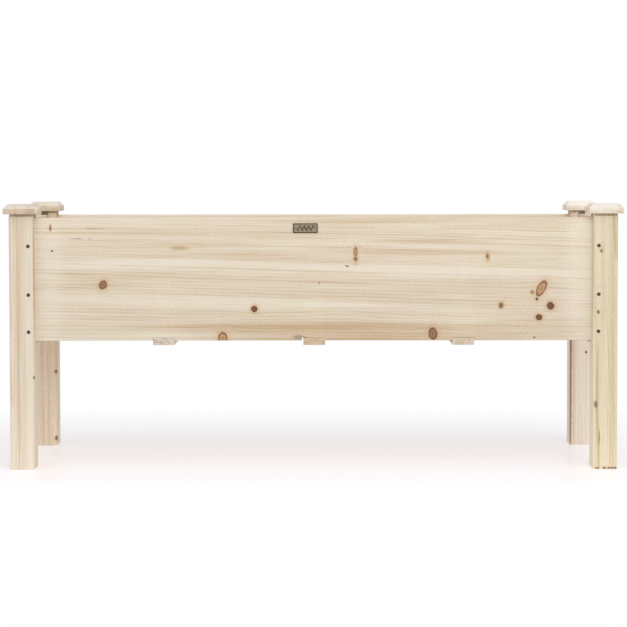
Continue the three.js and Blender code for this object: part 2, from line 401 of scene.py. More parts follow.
def rounded_rectangle(half_width, half_height, radius):
    """Outline points, anticlockwise, with CORNER_STEPS steps round each corner."""
    points = []
    for quarter, (sx, sy) in enumerate(((1, 1), (-1, 1), (-1, -1), (1, -1))):
        for step in range(CORNER_STEPS + 1):
            angle = (quarter + step / CORNER_STEPS) * math.pi / 2
            x = sx * (half_width - radius) + radius * math.cos(angle)
            y = sy * (half_height - radius) + radius * math.sin(angle)
            points.append((x, y))
    return points


def loft(sections):
    """A closed bmesh through outlines that have the same number of points."""
    mesh = bmesh.new()
    rows = [[mesh.verts.new(point) for point in section] for section in sections]
    mesh.faces.new(reversed(rows[0]))
    mesh.faces.new(rows[-1])
    for lower, upper in zip(rows, rows[1:]):
        for i, vert in enumerate(lower):
            after = (i + 1) % len(lower)
            mesh.faces.new((vert, lower[after], upper[after], upper[i]))
    bmesh.ops.recalc_face_normals(mesh, faces=mesh.faces)
    return mesh


def to_object(name, mesh, material, smooth_angle=SMOOTH_ANGLE):
    """A linked object from a bmesh, shaded smooth except over sharp edges."""
    data = bpy.data.meshes.new(name)
    mesh.to_mesh(data)
    mesh.free()
    piece = bpy.data.objects.new(name, data)
    bpy.context.scene.collection.objects.link(piece)
    for one in material if isinstance(material, (list, tuple)) else [material]:
        data.materials.append(one)
    shade(data, smooth_angle)
    return piece


def shade(data, smooth_angle):
    data.shade_smooth()
    data.set_sharp_from_angle(angle=smooth_angle)


def easing(length, radius):
    """Places along a length with the inset of the outline at each, rounded at both ends."""
    quarter = [(math.pi / 2) * step / CORNER_STEPS for step in range(CORNER_STEPS + 1)]
    start = [(radius * (1 - math.sin(a)), radius * (1 - math.cos(a))) for a in reversed(quarter)]
    count = max(2, round(length / STATION_PITCH))
    inner = [(radius + (length - 2 * radius) * i / count, 0.0) for i in range(1, count)]
    finish = [(length - spot, inset) for spot, inset in reversed(start)]
    return start + inner + finish


def board(low, high, along, seed, radius=EDGE_RADIUS):
    """A bmesh board between two corners, with eased edges and slightly wandering faces."""
    axis = AXES[along]
    u, v = [(axis + 1) % 3, (axis + 2) % 3]
    middle = (Vector(low) + Vector(high)) / 2
    half = (Vector(high) - Vector(low)) / 2
    sections = []
    for spot, inset in easing(2 * half[axis], radius):
        drift = noise.noise_vector(Vector((spot * 3.0, seed, 0.5))) * WANDER
        outline = rounded_rectangle(half[u] - inset, half[v] - inset, max(radius - inset, 2e-4))
        section = []
        for a, b in outline:
            point = Vector((0.0, 0.0, 0.0))
            point[axis] = low[axis] + spot
            point[u] = middle[u] + a * (1 - WANDER / half[u]) + drift[0]
            point[v] = middle[v] + b * (1 - WANDER / half[v]) + drift[1]
            section.append(point)
        sections.append(section)
    return loft(sections)


def block(low, high):
    """A plain bmesh box, used only as a cutter."""
    mesh = bmesh.new()
    bmesh.ops.create_cube(mesh, size=1.0)
    size = Vector(high) - Vector(low)
    middle = (Vector(high) + Vector(low)) / 2
    for vert in mesh.verts:
        vert.co = Vector([c * s for c, s in zip(vert.co, size)]) + middle
    return mesh


def revolve(profile, sides):
    """A closed bmesh from (radius, height) points, turned about +Z. It starts and ends at radius 0."""
    mesh = bmesh.new()
    rows = []
    for radius, height in profile:
        if radius == 0.0:
            rows.append([mesh.verts.new((0.0, 0.0, height))])
            continue
        angles = [2 * math.pi * i / sides for i in range(sides)]
        rows.append([
            mesh.verts.new((radius * math.cos(a), radius * math.sin(a), height)) for a in angles
        ])
    for lower, upper in zip(rows, rows[1:]):
        for i in range(sides):
            after = (i + 1) % sides
            corners = [lower[i % len(lower)], lower[after % len(lower)]]
            corners += [upper[after % len(upper)], upper[i % len(upper)]]
            unique = list(dict.fromkeys(corners))
            if len(unique) > 2:
                mesh.faces.new(unique)
    bmesh.ops.recalc_face_normals(mesh, faces=mesh.faces)
    return mesh


def joined(meshes):
    """One bmesh from several, which are freed."""
    whole = bmesh.new()
    for mesh in meshes:
        data = bpy.data.meshes.new("part")
        mesh.to_mesh(data)
        mesh.free()
        whole.from_mesh(data)
        bpy.data.meshes.remove(data)
    return whole


def carve(piece, cutters):
    """Cuts bmesh solids, which must not touch each other, out of a piece."""
    tool = to_object("tool", joined(cutters), [])
    modifier = piece.modifiers.new("cut", "BOOLEAN")
    modifier.operation = "DIFFERENCE"
    modifier.solver = "EXACT"
    modifier.object = tool
    graph = bpy.context.evaluated_depsgraph_get()
    data = bpy.data.meshes.new_from_object(piece.evaluated_get(graph))
    piece.modifiers.clear()
    old = piece.data
    piece.data = data
    bpy.data.meshes.remove(old)
    bpy.data.objects.remove(tool)
    shade(data, SMOOTH_ANGLE)


def box_of(node):
    """The two corners of a CAD node's box."""
    return [Vector(corner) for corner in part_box(node)]


def place(piece, slot, *nodes):
    """Puts a piece on the planter in place of its CAD nodes."""
    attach(piece, BODY)
    if nodes:
        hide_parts(*nodes)


# ---- Screws ----

SCREW_HEAD = 0.00525
SCREW_SHANK = 0.0024
SCREW_ROOT = 0.0017
SCREW_HEAD_DEPTH = 0.0036
SCREW_SIDES = 28
THREAD_PITCH = 0.0026
RECESS_LENGTH = 0.0062
RECESS_WIDTH = 0.0013
RECESS_DEPTH = 0.0021


def metal(name, colour, seed):
    """Dark plated steel, worn a little brighter in streaks."""
    space = Space(name, "xyz", seed)
    wear = space.noise((0.004, 0.004, 0.004), detail=4.0, rough=0.65)
    pits = space.noise((0.0008, 0.0008, 0.0008), detail=2.0, salt=1.0)
    worn = [min(255, value * 1.55) for value in colour]
    share = (wear * 1.6 + 0.35).limited()
    colour = space.mix(share, srgb(colour), srgb(worn))
    return space.finish(colour, wear * 0.25 + 0.42, pits, 0.00006, metallic=0.6)


def recess_arm(turn):
    """One arm of the cross recess, narrower at the bottom."""
    mesh = block(
        (-RECESS_LENGTH / 2, -RECESS_WIDTH / 2, -RECESS_DEPTH),
        (RECESS_LENGTH / 2, RECESS_WIDTH / 2, 0.001),
    )
    for vert in mesh.verts:
        if vert.co.z < 0:
            vert.co.x *= 0.45
            vert.co.y *= 0.7
    bmesh.ops.rotate(mesh, verts=mesh.verts, matrix=Matrix.Rotation(turn, 3, "Z"))
    return mesh


def screw_mesh(length, material):
    """A countersunk cross-head screw, head flush at z = 0, pointing down."""
    rim = 0.0002
    profile = [
        (0.0, 0.0),
        (SCREW_HEAD - rim, 0.0),
        (SCREW_HEAD, -rim),
        (SCREW_HEAD, -3 * rim),
        (SCREW_SHANK, -SCREW_HEAD_DEPTH),
    ]
    smooth_to = 0.3 * length
    tip = length - 0.007
    profile.append((SCREW_SHANK, -smooth_to))
    turns = int((tip - smooth_to) / THREAD_PITCH)
    for turn in range(turns):
        height = smooth_to + (turn + 0.5) * THREAD_PITCH
        profile.append((SCREW_ROOT, -height))
        profile.append((SCREW_SHANK, -height - THREAD_PITCH / 2))
    profile.append((SCREW_ROOT, -tip - THREAD_PITCH / 2))
    profile.append((0.0, -length))
    piece = to_object("screw_pattern", revolve(profile, SCREW_SIDES), material)
    carve(piece, [recess_arm(0.0)])
    carve(piece, [recess_arm(math.pi / 2)])
    data = piece.data
    bpy.data.objects.remove(piece)
    return data


def driven(head, direction):
    """The transform that takes a screw drawn pointing down to its place."""
    rotation = Vector((0, 0, -1)).rotation_difference(Vector(direction)).to_matrix().to_4x4()
    return Matrix.Translation(head) @ rotation


def add_screw(name, pattern, head, direction, turn):
    """Copies a screw so that its head is at a point and it drives along a direction."""
    data = pattern.copy()
    data.transform(driven(head, direction) @ Matrix.Rotation(turn, 4, "Z"))
    screw = bpy.data.objects.new(name, data)
    bpy.context.scene.collection.objects.link(screw)
    return screw


def screw_from_node(node, pattern, turn):
    """Replaces a CAD screw: the head is at the end of its box that is outside the planter."""
    low, high = box_of(node)
    size = high - low
    axis = max(range(3), key=lambda i: size[i])
    head = (low + high) / 2
    outward = -1.0 if axis == 2 or head[axis] < 0 else 1.0
    head[axis] = low[axis] if outward < 0 else high[axis]
    direction = [0.0, 0.0, 0.0]
    direction[axis] = -outward
    screw = add_screw(node + "_fine", pattern, head, direction, turn)
    place(screw, "screw_steel", node)
    return head, direction


def countersink(head, direction):
    """The cone and hole that a screw leaves in the wood, as a cutter."""
    profile = [
        (0.0, 0.001),
        (SCREW_HEAD + 0.0004, 0.001),
        (SCREW_HEAD + 0.0004, -0.0009),
        (SCREW_SHANK + 0.0004, -SCREW_HEAD_DEPTH - 0.0004),
        (SCREW_SHANK + 0.0004, -0.0502),
        (0.0, -0.0506),
    ]
    mesh = revolve(profile, SCREW_SIDES)
    mesh.transform(driven(head, direction))
    return mesh


# ---- Posts ----

def corner_sides(name):
    """-1 or 1 along X and along Y for a corner such as front_left."""
    return (-1 if name.endswith("left") else 1), (-1 if name.startswith("front") else 1)


# Places on a post are heights, then x. A mark shows on the front and rear faces alike, unless it
# has a depth.
POST_KNOTS = {
    "front_left": [
        ("pin", 0.274, -0.8285, 0.005, 0.0030, 0, (-0.270, 0.010)),
    ],
    "front_right": [
        ("stain", 0.192, 0.836, 0.011, 0.0055, 0, (-0.277, 0.010)),
        ("soft", 0.647, 0.850, 0.004, 0.0034, 0),
        ("soft", 0.466, 0.842, 0.005, 0.0034, 0),
        *[
            ("soft", 0.001, x, 0.0040, 0.0045, 0, (-0.277, 0.008))
            for x in (0.8420, 0.8620, 0.8755, 0.8856, 0.8940)
        ],
    ],
    "rear_left": [
        ("soft", 0.240, -0.831, 0.0050, 0.005, 0, (0.208, 0.008)),
        ("soft", 0.024, -0.831, 0.0070, 0.005, 0, (0.208, 0.008)),
        ("pin", 0.610, -0.868, 0.004, 0.003, 0),
    ],
    "rear_right": [
        ("brown", 0.560, 0.862, 0.008, 0.006, 10),
        ("pin", 0.300, 0.880, 0.004, 0.003, 0),
        # The next mark is a long dark line down the front face, beside its inner edge.
        ("stain", 0.250, 0.8300, 0.350, 0.0035, 0, (0.206, 0.010)),
    ],
}
POST_PATCHES = {
    "front_left": [
        (0.50, -0.8735, 0.60, 0.0045, 0, 0.34),
        (0.45, -0.8420, 0.60, 0.0110, 0, -0.30),
        # The next patch is painted shadow: a dark line down the inner side face, where the gap between
        # post and panel lies in shade.
        (0.570, -0.8260, 0.200, 0.0030, 0, 0.90),
        (0.40, -0.8900, 0.60, 0.0040, 0, -0.20),
    ],
    "front_right": [
        (0.45, 0.8860, 0.60, 0.0055, 0, 0.34),
        # The next patch is painted light: it pales the inner side face below the panel, which the
        # lamps leave in shade.
        (0.20, 0.8265, 0.24, 0.0050, 0, -0.80),
        (0.24, 0.8400, 0.14, 0.0045, 1.0, 0.60),
        (0.08, 0.8440, 0.09, 0.0040, -1.0, 0.60),
        (0.45, 0.8660, 0.50, 0.0060, 0, -0.20),
        (0.655, 0.8500, 0.016, 0.0080, 0, 0.25),
    ],
    "rear_left": [(0.30, -0.8750, 0.50, 0.0100, 0, 0.20)],
    "rear_right": [(0.20, 0.8400, 0.30, 0.0050, 0, 0.45)],
}
POST_TONES = {
    "front_left": {},
    "front_right": {"light": (238, 227, 199), "dark": (200, 178, 130)},
    "rear_left": {"light": (240, 226, 204), "dark": (202, 174, 142)},
    # rear_right is paler than the other posts as painted light, standing in for light that the rear
    # posts get less of.
    "rear_right": {"light": (248, 240, 227), "dark": (218, 197, 170)},
}
POST_PITHS = {
    "front_left": (-0.895, -0.300),
    "front_right": (0.900, -0.335),
    "rear_left": (-0.800, 0.150),
    "rear_right": (0.915, 0.160),
}
SLOT_HEIGHT = 0.0066
SLOT_DEPTH = 0.010
SPLIT_FOOT = Vector((0.8455, 0.0, 0.066))
SPLIT_HEIGHT = 0.055
# Each chip's place across the post, as a share of its width, and its radius.
CHIPS = (
    (0.10, 0.0045), (0.20, 0.0030), (0.47, 0.0050), (0.66, 0.0062), (0.80, 0.0042), (0.92, 0.0035),
)


def split_cutter(front):
    """A drying split: a thin wedge that is widest in its middle."""
    sections = []
    steps = 8
    for step in range(steps + 1):
        share = step / steps
        width = 0.0001 + 0.0013 * math.sin(math.pi * share)
        depth = 0.001 + 0.007 * math.sin(math.pi * share)
        x = SPLIT_FOOT.x + 0.0012 * math.sin(2.6 * share)
        z = SPLIT_FOOT.z + SPLIT_HEIGHT * share
        outline = [(-width, -0.002), (width, -0.002), (width * 0.5, depth), (-width * 0.5, depth)]
        sections.append([(x + a, front + b, z) for a, b in outline])
    return loft(sections)


def chip_cutters(low, high):
    """Splinters broken out of the front bottom edge."""
    chips = []
    for index, (share, size) in enumerate(CHIPS):
        chip = bmesh.new()
        bmesh.ops.create_icosphere(chip, subdivisions=2, radius=size)
        for vert in chip.verts:
            rough = noise.noise(vert.co * 400 + Vector((index * 5.0, 0, 0)))
            vert.co *= 1 + 0.35 * rough
            vert.co.x *= 0.9
            vert.co += Vector((low.x + (high.x - low.x) * share, low.y, low.z))
        chips.append(chip)
    return chips


def groove_span(middle, side):
    """Where a panel's groove starts, outside the post's inner face, and where it ends."""
    opening = middle - side * POST_HALF * 1.1
    bottom = middle - side * (POST_HALF - PANEL_TONGUE - GAP)
    return sorted((opening, bottom))


def add_post(corner, screws):
    node = "post_" + corner
    low, high = box_of(node)
    side_x, side_y = corner_sides(corner)
    seed = 1.0 + list(POST_PITHS).index(corner)
    material = fir(
        "fir_" + node, "zxy", log_rings(POST_PITHS[corner], 0.0046, lean=(0.004, 0.012)), seed,
        knots=POST_KNOTS[corner], patches=POST_PATCHES[corner], **POST_TONES[corner],
    )
    piece = to_object(node + "_fine", board(low, high, "z", seed, radius=0.0028), material)
    top = high.z + CUT_PAST
    spans = ((low.y - CUT_PAST, low.y + SLOT_DEPTH), (high.y - SLOT_DEPTH, high.y + CUT_PAST))
    carve(piece, [
        block((low.x - CUT_PAST, span[0], high.z - SLOT_HEIGHT), (high.x + CUT_PAST, span[1], top))
        for span in spans
    ])

    middle = (low + high) / 2
    half_groove = PANEL_THICKNESS / 2 + GAP
    panel_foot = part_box("front_panel")[0][2]
    groove_foot = panel_foot - GAP
    near, far = groove_span(middle.x, side_x)
    carve(piece, [
        block((near, middle.y - half_groove, groove_foot), (far, middle.y + half_groove, top)),
    ])
    near, far = groove_span(middle.y, side_y)
    carve(piece, [
        block((middle.x - half_groove, near, groove_foot), (middle.x + half_groove, far, top)),
    ])
    carve(piece, [countersink(*screw) for screw in screws])
    if corner == "front_right":
        carve(piece, [split_cutter(low.y), *chip_cutters(low, high)])
    place(piece, "post_fir", node)


# ---- Caps ----

def cap_mesh(low, high):
    """A square cap whose top edges are chamfered, with every arris eased."""
    middle = (low + high) / 2
    half = (high.x - low.x) / 2
    thick = high.z - low.z
    shoulder = thick - CAP_CHAMFER
    ease = 0.0012
    levels = [
        (0.0, ease), (0.3 * ease, 0.3 * ease), (ease, 0.0),
        (shoulder - 0.5 * ease, 0.0), (shoulder, 0.12 * ease), (shoulder + 0.5 * ease, 0.5 * ease),
        (thick - 0.6 * ease, CAP_CHAMFER - 0.7 * ease), (thick - 0.12 * ease, CAP_CHAMFER),
        (thick, CAP_CHAMFER + 0.8 * ease),
    ]
    sections = []
    for level, inset in levels:
        side = half - inset
        outline = rounded_rectangle(side, side, 0.0018)
        sections.append([(middle.x + a, middle.y + b, low.z + level) for a, b in outline])
    return loft(sections)


# Each cap's light and dark wood on its sides, and then a paler, greyer pair on its top and chamfer,
# which is painted light and sheen from above.
CAP_TONES_WITH_PAINTED_LIT_TOPS = {
    "front_left": (((230, 214, 193), (188, 160, 132)), ((232, 225, 211), (204, 191, 172))),
    "front_right": (((250, 242, 228), (224, 203, 174)), ((240, 233, 226), (224, 213, 197))),
    "rear_left": (((235, 223, 203), (192, 170, 141)), ((236, 227, 211), (206, 192, 171))),
    "rear_right": (((252, 247, 234), (226, 208, 179)), ((252, 248, 239), (232, 221, 202))),
}
CAP_PATCHES = {
    "front_left": [
        (-0.835, -0.262, 0.016, 0.060, 0, 0.35),
        # The next patch is a painted highlight: it pales the cap's inner end and inner side face, as
        # if lit from the right.
        (-0.806, -0.262, 0.012, 0.070, 0, -0.80),
        (-0.878, -0.290, 0.0016, 0.012, 0, 0.50),
    ],
    "front_right": [(0.905, -0.270, 0.012, 0.030, 0, 0.60)],
    "rear_left": [(-0.880, 0.200, 0.030, 0.020, 0, 0.20)],
}


def add_cap(corner, seed):
    node = "cap_" + corner
    low, high = box_of(node)
    middle = (low + high) / 2
    side_x, _ = corner_sides(corner)
    pith = (middle.y + 0.012 * side_x, low.z - 0.055)
    patches = CAP_PATCHES.get(corner, ())
    wood_and_painted_lit_top = [
        fir(
            f"fir_{node}_{part}", "xyz", log_rings(pith, 0.0042, lean=(0.03, 0.05)), seed,
            patches=patches, light=light, dark=dark,
        )
        for part, (light, dark) in zip(("side", "top"), CAP_TONES_WITH_PAINTED_LIT_TOPS[corner])
    ]
    piece = to_object(node + "_fine", cap_mesh(low, high), wood_and_painted_lit_top, CAP_SMOOTH_ANGLE)
    # Faces that look up take the second material: painted light and sheen on the top and chamfer.
    for face in piece.data.polygons:
        face.material_index = 1 if face.normal.z > 0.3 else 0
    place(piece, "cap_fir", node)


# ---- Panels ----

# Places on a long panel are x, then height.
FRONT_KNOTS = [
    ("brown", -0.625, 0.547, 0.0138, 0.0115, 55),
    ("soft", 0.125, 0.623, 0.0050, 0.0060, 0),
    ("tan", 0.125, 0.645, 0.0058, 0.0145, 0),
    ("dark", -0.176, 0.475, 0.0092, 0.0098, 0),
    ("tan", -0.270, 0.388, 0.0140, 0.0190, 0),
    ("tan", 0.677, 0.535, 0.0268, 0.0128, 62),
    ("dark", 0.704, 0.483, 0.0110, 0.0112, 0),
    ("dark", 0.670, 0.449, 0.0094, 0.0092, 0),
    ("soft", 0.557, 0.485, 0.0068, 0.0080, 0),
    ("brown", 0.355, 0.401, 0.0135, 0.0185, 8),
    ("soft", 0.517, 0.630, 0.0040, 0.0070, 10),
    ("tan", 0.650, 0.524, 0.0062, 0.0058, 0),
    ("pin", 0.664, 0.503, 0.0042, 0.0040, 0),
    ("soft", -0.780, 0.717, 0.0028, 0.0080, 0),
    ("pin", -0.775, 0.648, 0.0032, 0.0028, 0),
    ("pin", 0.099, 0.602, 0.0060, 0.0017, -15),
    ("stain", 0.656, 0.389, 0.0045, 0.0035, 0),
    ("bark", -0.040, 0.390, 0.0190, 0.0056, -4),
    ("pin", 0.017, 0.553, 0.0018, 0.0025, 0),
    ("pin", -0.702, 0.684, 0.0180, 0.0008, 0),
    ("pin", -0.662, 0.684, 0.0060, 0.0007, 0),
    ("pin", -0.650, 0.714, 0.0300, 0.0006, 0),
]
FRONT_PATCHES = [
    (-0.45, 0.606, 0.55, 0.015, -0.8, -0.30),
    (0.42, 0.588, 0.42, 0.018, -1.6, -0.32),
    (-0.35, 0.497, 0.55, 0.019, -1.4, -0.26),
    (-0.42, 0.392, 0.34, 0.012, 0, -0.26),
    (0.10, 0.424, 0.60, 0.010, -0.4, 0.22),
    (-0.30, 0.565, 0.50, 0.014, -1.8, 0.16),
    (0.35, 0.676, 0.17, 0.008, 0, 0.34),
    (0.32, 0.641, 0.22, 0.008, -0.5, 0.30),
    (-0.60, 0.700, 0.30, 0.007, 0, 0.22),
    (-0.45, 0.662, 0.30, 0.006, 0, 0.22),
    (-0.398, 0.656, 0.026, 0.007, 0, 0.60),
    (0.517, 0.630, 0.009, 0.018, 0, 0.45),
    (0.125, 0.625, 0.010, 0.022, 0, 0.40),
    (0.66, 0.415, 0.18, 0.045, 0, 0.10),
    (0.05, 0.402, 0.50, 0.040, -1.0, 0.46),
    (0.14, 0.736, 0.30, 0.009, 0, 0.30),
    # The next two patches are painted light: they pale both ends of the panel to lift the shade beside
    # the posts.
    (-0.800, 0.560, 0.055, 0.300, 0, -0.20),
    (0.806, 0.560, 0.060, 0.300, 0, -0.26),
    (0.30, 0.560, 0.50, 0.060, 0, 0.06),
]
REAR_KNOTS = [
    ("brown", -0.610, 0.660, 0.0110, 0.0090, 20),
    ("tan", -0.300, 0.450, 0.0140, 0.0105, -10),
    ("dark", 0.080, 0.520, 0.0070, 0.0085, 0),
    ("brown", 0.390, 0.690, 0.0095, 0.0080, 0),
    ("tan", 0.560, 0.430, 0.0150, 0.0120, 30),
    ("dark", 0.690, 0.580, 0.0075, 0.0070, 0),
    ("pin", -0.480, 0.590, 0.0040, 0.0040, 0),
    ("pin", -0.090, 0.680, 0.0035, 0.0050, 0),
    ("soft", 0.250, 0.405, 0.0050, 0.0050, 0),
    ("pin", 0.745, 0.700, 0.0035, 0.0040, 0),
]
REAR_PATCHES = [
    (-0.20, 0.600, 0.60, 0.020, 1.0, -0.28),
    (0.30, 0.480, 0.55, 0.018, -0.8, -0.22),
    (-0.40, 0.410, 0.50, 0.012, 0, 0.20),
    (0.20, 0.700, 0.45, 0.010, 0.5, 0.18),
]
END_KNOTS = {
    "left": [
        ("brown", -0.070, 0.480, 0.0105, 0.0090, 15),
        ("dark", 0.110, 0.640, 0.0075, 0.0080, 0),
    ],
    "right": [
        ("tan", 0.060, 0.600, 0.0120, 0.0095, -20),
        ("brown", -0.120, 0.430, 0.0080, 0.0075, 0),
    ],
}
END_PATCHES = {
    "left": [(0.0, 0.560, 0.30, 0.022, 1.5, -0.26), (0.0, 0.430, 0.30, 0.012, 0, 0.18)],
    "right": [(0.0, 0.500, 0.30, 0.020, -1.2, -0.26), (0.0, 0.690, 0.30, 0.012, 0, 0.18)],
}


def notch_cutters(low, high):
    """The cuts in a long panel's bottom edge that the battens are let into."""
    cutters = []
    for position in BATTENS:
        batten_low, batten_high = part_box("floor_batten_" + position)
        slack = MIDDLE_NOTCH_SLACK if position == "middle" else 0.0
        left = batten_low[0] - GAP - slack
        right = batten_high[0] + GAP
        cutters.append(block(
            (left, low.y - CUT_PAST, low.z - CUT_PAST),
            (right, high.y + CUT_PAST, batten_high[2] + GAP),
        ))
    return cutters


def add_long_panel(node, material, screws, seed):
    low, high = box_of(node)
    piece = to_object(node + "_fine", board(low, high, "x", seed), material)
    carve(piece, notch_cutters(low, high))
    carve(piece, [countersink(*screw) for screw in screws])
    place(piece, "panel_fir", node)


def add_end_panel(side, seed):
    node = side + "_end_panel"
    low, high = box_of(node)
    direction = -1 if side == "left" else 1
    pith = (0.52 + 0.06 * direction, low.x - direction * 0.10)
    material = fir(
        "fir_" + node, "yzx", log_rings(pith, 0.0058, lean=(0.05, 0.10)), seed,
        knots=END_KNOTS[side], patches=END_PATCHES[side],
    )
    piece = to_object(node + "_fine", board(low, high, "y", seed), material)
    place(piece, "panel_fir", node)


# ---- Floor ----

BATTEN_LOOKS = {
    "left": {"light": (241, 229, 215), "dark": (172, 146, 124)},
    "middle": {"light": (232, 211, 181), "dark": (178, 142, 104)},
    "right": {"light": (230, 215, 193), "dark": (178, 150, 118)},
}
BATTEN_RINGS = {"left": 0.0058, "middle": 0.0044, "right": 0.0040}
FLOOR_EDGE = 0.0012
POST_CLEARANCE = 0.002


def add_batten(position, seed, screws):
    node = "floor_batten_" + position
    low, high = box_of(node)
    middle = (low + high) / 2
    pith = (middle.x + 0.030 * (seed - 31.0) + 0.008, low.z - 0.026)
    material = fir(
        "fir_" + node, "yxz", log_rings(pith, BATTEN_RINGS[position], lean=(0.02, 0.01)), seed,
        **BATTEN_LOOKS[position], line_strength=0.95, fine=1.5, rough=0.7,
    )
    piece = to_object(node + "_fine", board(low, high, "y", seed, FLOOR_EDGE), material)
    carve(piece, [countersink(*screw) for screw in screws])
    place(piece, "batten_fir", node)


def add_ledger(side, seed):
    node = "floor_ledger_" + side
    low, high = box_of(node)
    middle = (low + high) / 2
    material = fir(
        "fir_" + node, "yxz", log_rings((middle.x, low.z - 0.040), 0.0034, lean=(0.02, 0.0)), seed,
        light=(226, 206, 176), dark=(180, 148, 110), line_strength=0.8, fine=1.4, rough=0.7,
    )
    piece = to_object(node + "_fine", board(low, high, "y", seed, FLOOR_EDGE), material)
    place(piece, "batten_fir", node)


def add_floor_board(index, seed):
    node = f"floor_board_{index}"
    low, high = box_of(node)
    middle = (low + high) / 2
    pith = (middle.y + 0.05 * math.sin(seed * 2.1), low.z - 0.09 - 0.02 * math.cos(seed))
    knots = [
        ("brown", -0.62 + 0.31 * index % 0.9, middle.y + 0.018 * math.sin(seed), 0.009, 0.007, 15),
        ("dark", 0.70 - 0.27 * index % 0.8, middle.y - 0.022 * math.cos(seed), 0.007, 0.006, 0),
    ]
    material = fir(
        "fir_" + node, "xyz", log_rings(pith, 0.0050, lean=(0.01, 0.03)), seed, knots=knots,
        light=(231, 215, 184), dark=(196, 166, 122), fine=1.4, rough=0.68,
    )
    piece = to_object(node + "_fine", board(low, high, "x", seed, FLOOR_EDGE), material)
    post_low, post_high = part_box("post_front_right")
    if low.y < post_high[1] or high.y > -post_high[1]:
        side = 1 if middle.y > 0 else -1
        near, far = sorted((side * (-post_high[1] - POST_CLEARANCE), side * 0.3))
        for end in (-1, 1):
            left, right = sorted((end * (post_low[0] - POST_CLEARANCE), end * 0.9))
            carve(piece, [
                block((left, near, low.z - CUT_PAST), (right, far, high.z + CUT_PAST)),
            ])
    place(piece, "floor_fir", node)


def add_floor_nails(material):
    """Two flat-headed nails through each floor board at every support, as one piece."""
    supports = [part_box("floor_batten_" + p) for p in BATTENS]
    supports += [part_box("floor_ledger_" + p) for p in ("left", "right")]
    nails = []
    for index in range(1, 6):
        low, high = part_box(f"floor_board_{index}")
        for support_low, support_high in supports:
            x = (support_low[0] + support_high[0]) / 2
            for share in (0.28, 0.72):
                y = low[1] + (high[1] - low[1]) * share
                nail = revolve([
                    (0.0, 0.0005), (0.0020, 0.0004), (0.0027, 0.0001), (0.0027, -0.0004),
                    (0.0011, -0.0010), (0.0011, -0.022), (0.0, -0.025),
                ], 14)
                nail.transform(Matrix.Translation((x + 0.0015 * math.sin(y * 90), y, high[2])))
                nails.append(nail)
    piece = to_object("floor_nails", joined(nails), material)
    place(piece, "screw_steel")


# ---- Name plate ----

PLATE_BORDER = 0.0026
PLATE_RECESS = 0.0006
PIN_PROFILE = [(0.0, 0.0011), (0.0009, 0.0009), (0.0015, 0.0003), (0.0016, -0.0002), (0.0, -0.0002)]


def plate_material(name, colour, seed):
    space = Space(name, "xzy", seed)
    brushed = space.noise((0.012, 0.0004, 0.01), detail=3.0, rough=0.6)
    cloud = space.noise((0.02, 0.012, 0.02), detail=2.0, salt=1.0)
    share = (brushed * 0.7 + cloud * 0.5 + 0.4).limited()
    deep = [value * 0.8 for value in colour]
    mixed = space.mix(share, srgb(deep), srgb(colour))
    return space.finish(mixed, brushed * 0.2 + 0.45, brushed, 0.00003, metallic=0.35)


def leaf(centre, length, width, tilt, face_y):
    """One raised leaf, pointed at both ends, facing -Y."""
    steps = 10
    outline = []
    for step in range(2 * steps):
        share = step / steps
        side = 1 if share < 1 else -1
        along = share if share < 1 else 2 - share
        across = side * math.sin(math.pi * along) ** 0.9 * width / 2
        outline.append(((along - 0.5) * length, across))
    cos, sin = math.cos(math.radians(tilt)), math.sin(math.radians(tilt))
    sections = []
    for height, scale in ((0.0, 1.0), (0.00030, 0.94), (0.00045, 0.7)):
        turned = [((a * cos - b * sin) * scale, (a * sin + b * cos) * scale) for a, b in outline]
        sections.append([(centre[0] + x, face_y - height, centre[1] + z) for x, z in turned])
    return loft(sections)


def add_name_plate():
    """A blank plate with a raised border, two pins and a small sprig."""
    low, high = box_of("name_plate")
    middle = (low + high) / 2
    half_width, half_height = (high.x - low.x) / 2, (high.z - low.z) / 2
    face_y = low.y + PLATE_RECESS
    steps = [
        (0.0, high.y), (0.0, low.y + 0.0003), (0.0004, low.y), (PLATE_BORDER, low.y),
        (PLATE_BORDER + 0.0004, face_y),
    ]
    sections = []
    for inset, y in steps:
        corner = max(0.0022 - inset * 0.5, 0.0008)
        outline = rounded_rectangle(half_width - inset, half_height - inset, corner)
        sections.append([(middle.x + a, y, middle.z + b) for a, b in outline])
    rim = plate_material("plate_border", (96, 79, 62), 51.0)
    field = plate_material("plate_field", (178, 163, 138), 52.0)
    plate = to_object("name_plate_fine", loft(sections), [rim, field])
    for face in plate.data.polygons:
        at_field = all(abs(plate.data.vertices[v].co.y - face_y) < 1e-5 for v in face.vertices)
        face.material_index = 1 if at_field else 0
    place(plate, "plate_metal", "name_plate")

    leaves = [leaf((middle.x, middle.z), 0.0560, 0.0022, 0, face_y)]
    for index in range(8):
        side = 1 if index % 2 else -1
        centre = (middle.x + (index - 3.5) * 0.0064, middle.z + side * 0.0040)
        leaves.append(leaf(centre, 0.0112, 0.0050, side * 48, face_y))
    sprig = to_object("name_plate_sprig", joined(leaves), rim)
    place(sprig, "plate_metal")

    pins = []
    for side in (-1, 1):
        x = middle.x + side * (half_width - 0.0062)
        pin = revolve(PIN_PROFILE, 16)
        pin.transform(Matrix.Rotation(math.pi / 2, 4, "X"))
        pin.transform(Matrix.Translation((x, face_y, middle.z)))
        pins.append(pin)
    place(to_object("name_plate_pins", joined(pins), rim), "plate_metal")


# ---- Putting it together ----

def add_screws(patterns):
    """Replaces every CAD screw, and returns each one's head and direction by node."""
    placed = {}
    for index, node in enumerate(sorted(frame["nodes"])):
        if "_screw_" in node:
            pattern = patterns["batten" if node.startswith("batten") else "panel"]
            placed[node] = screw_from_node(node, pattern, 0.3 + index * 1.13)
    return placed


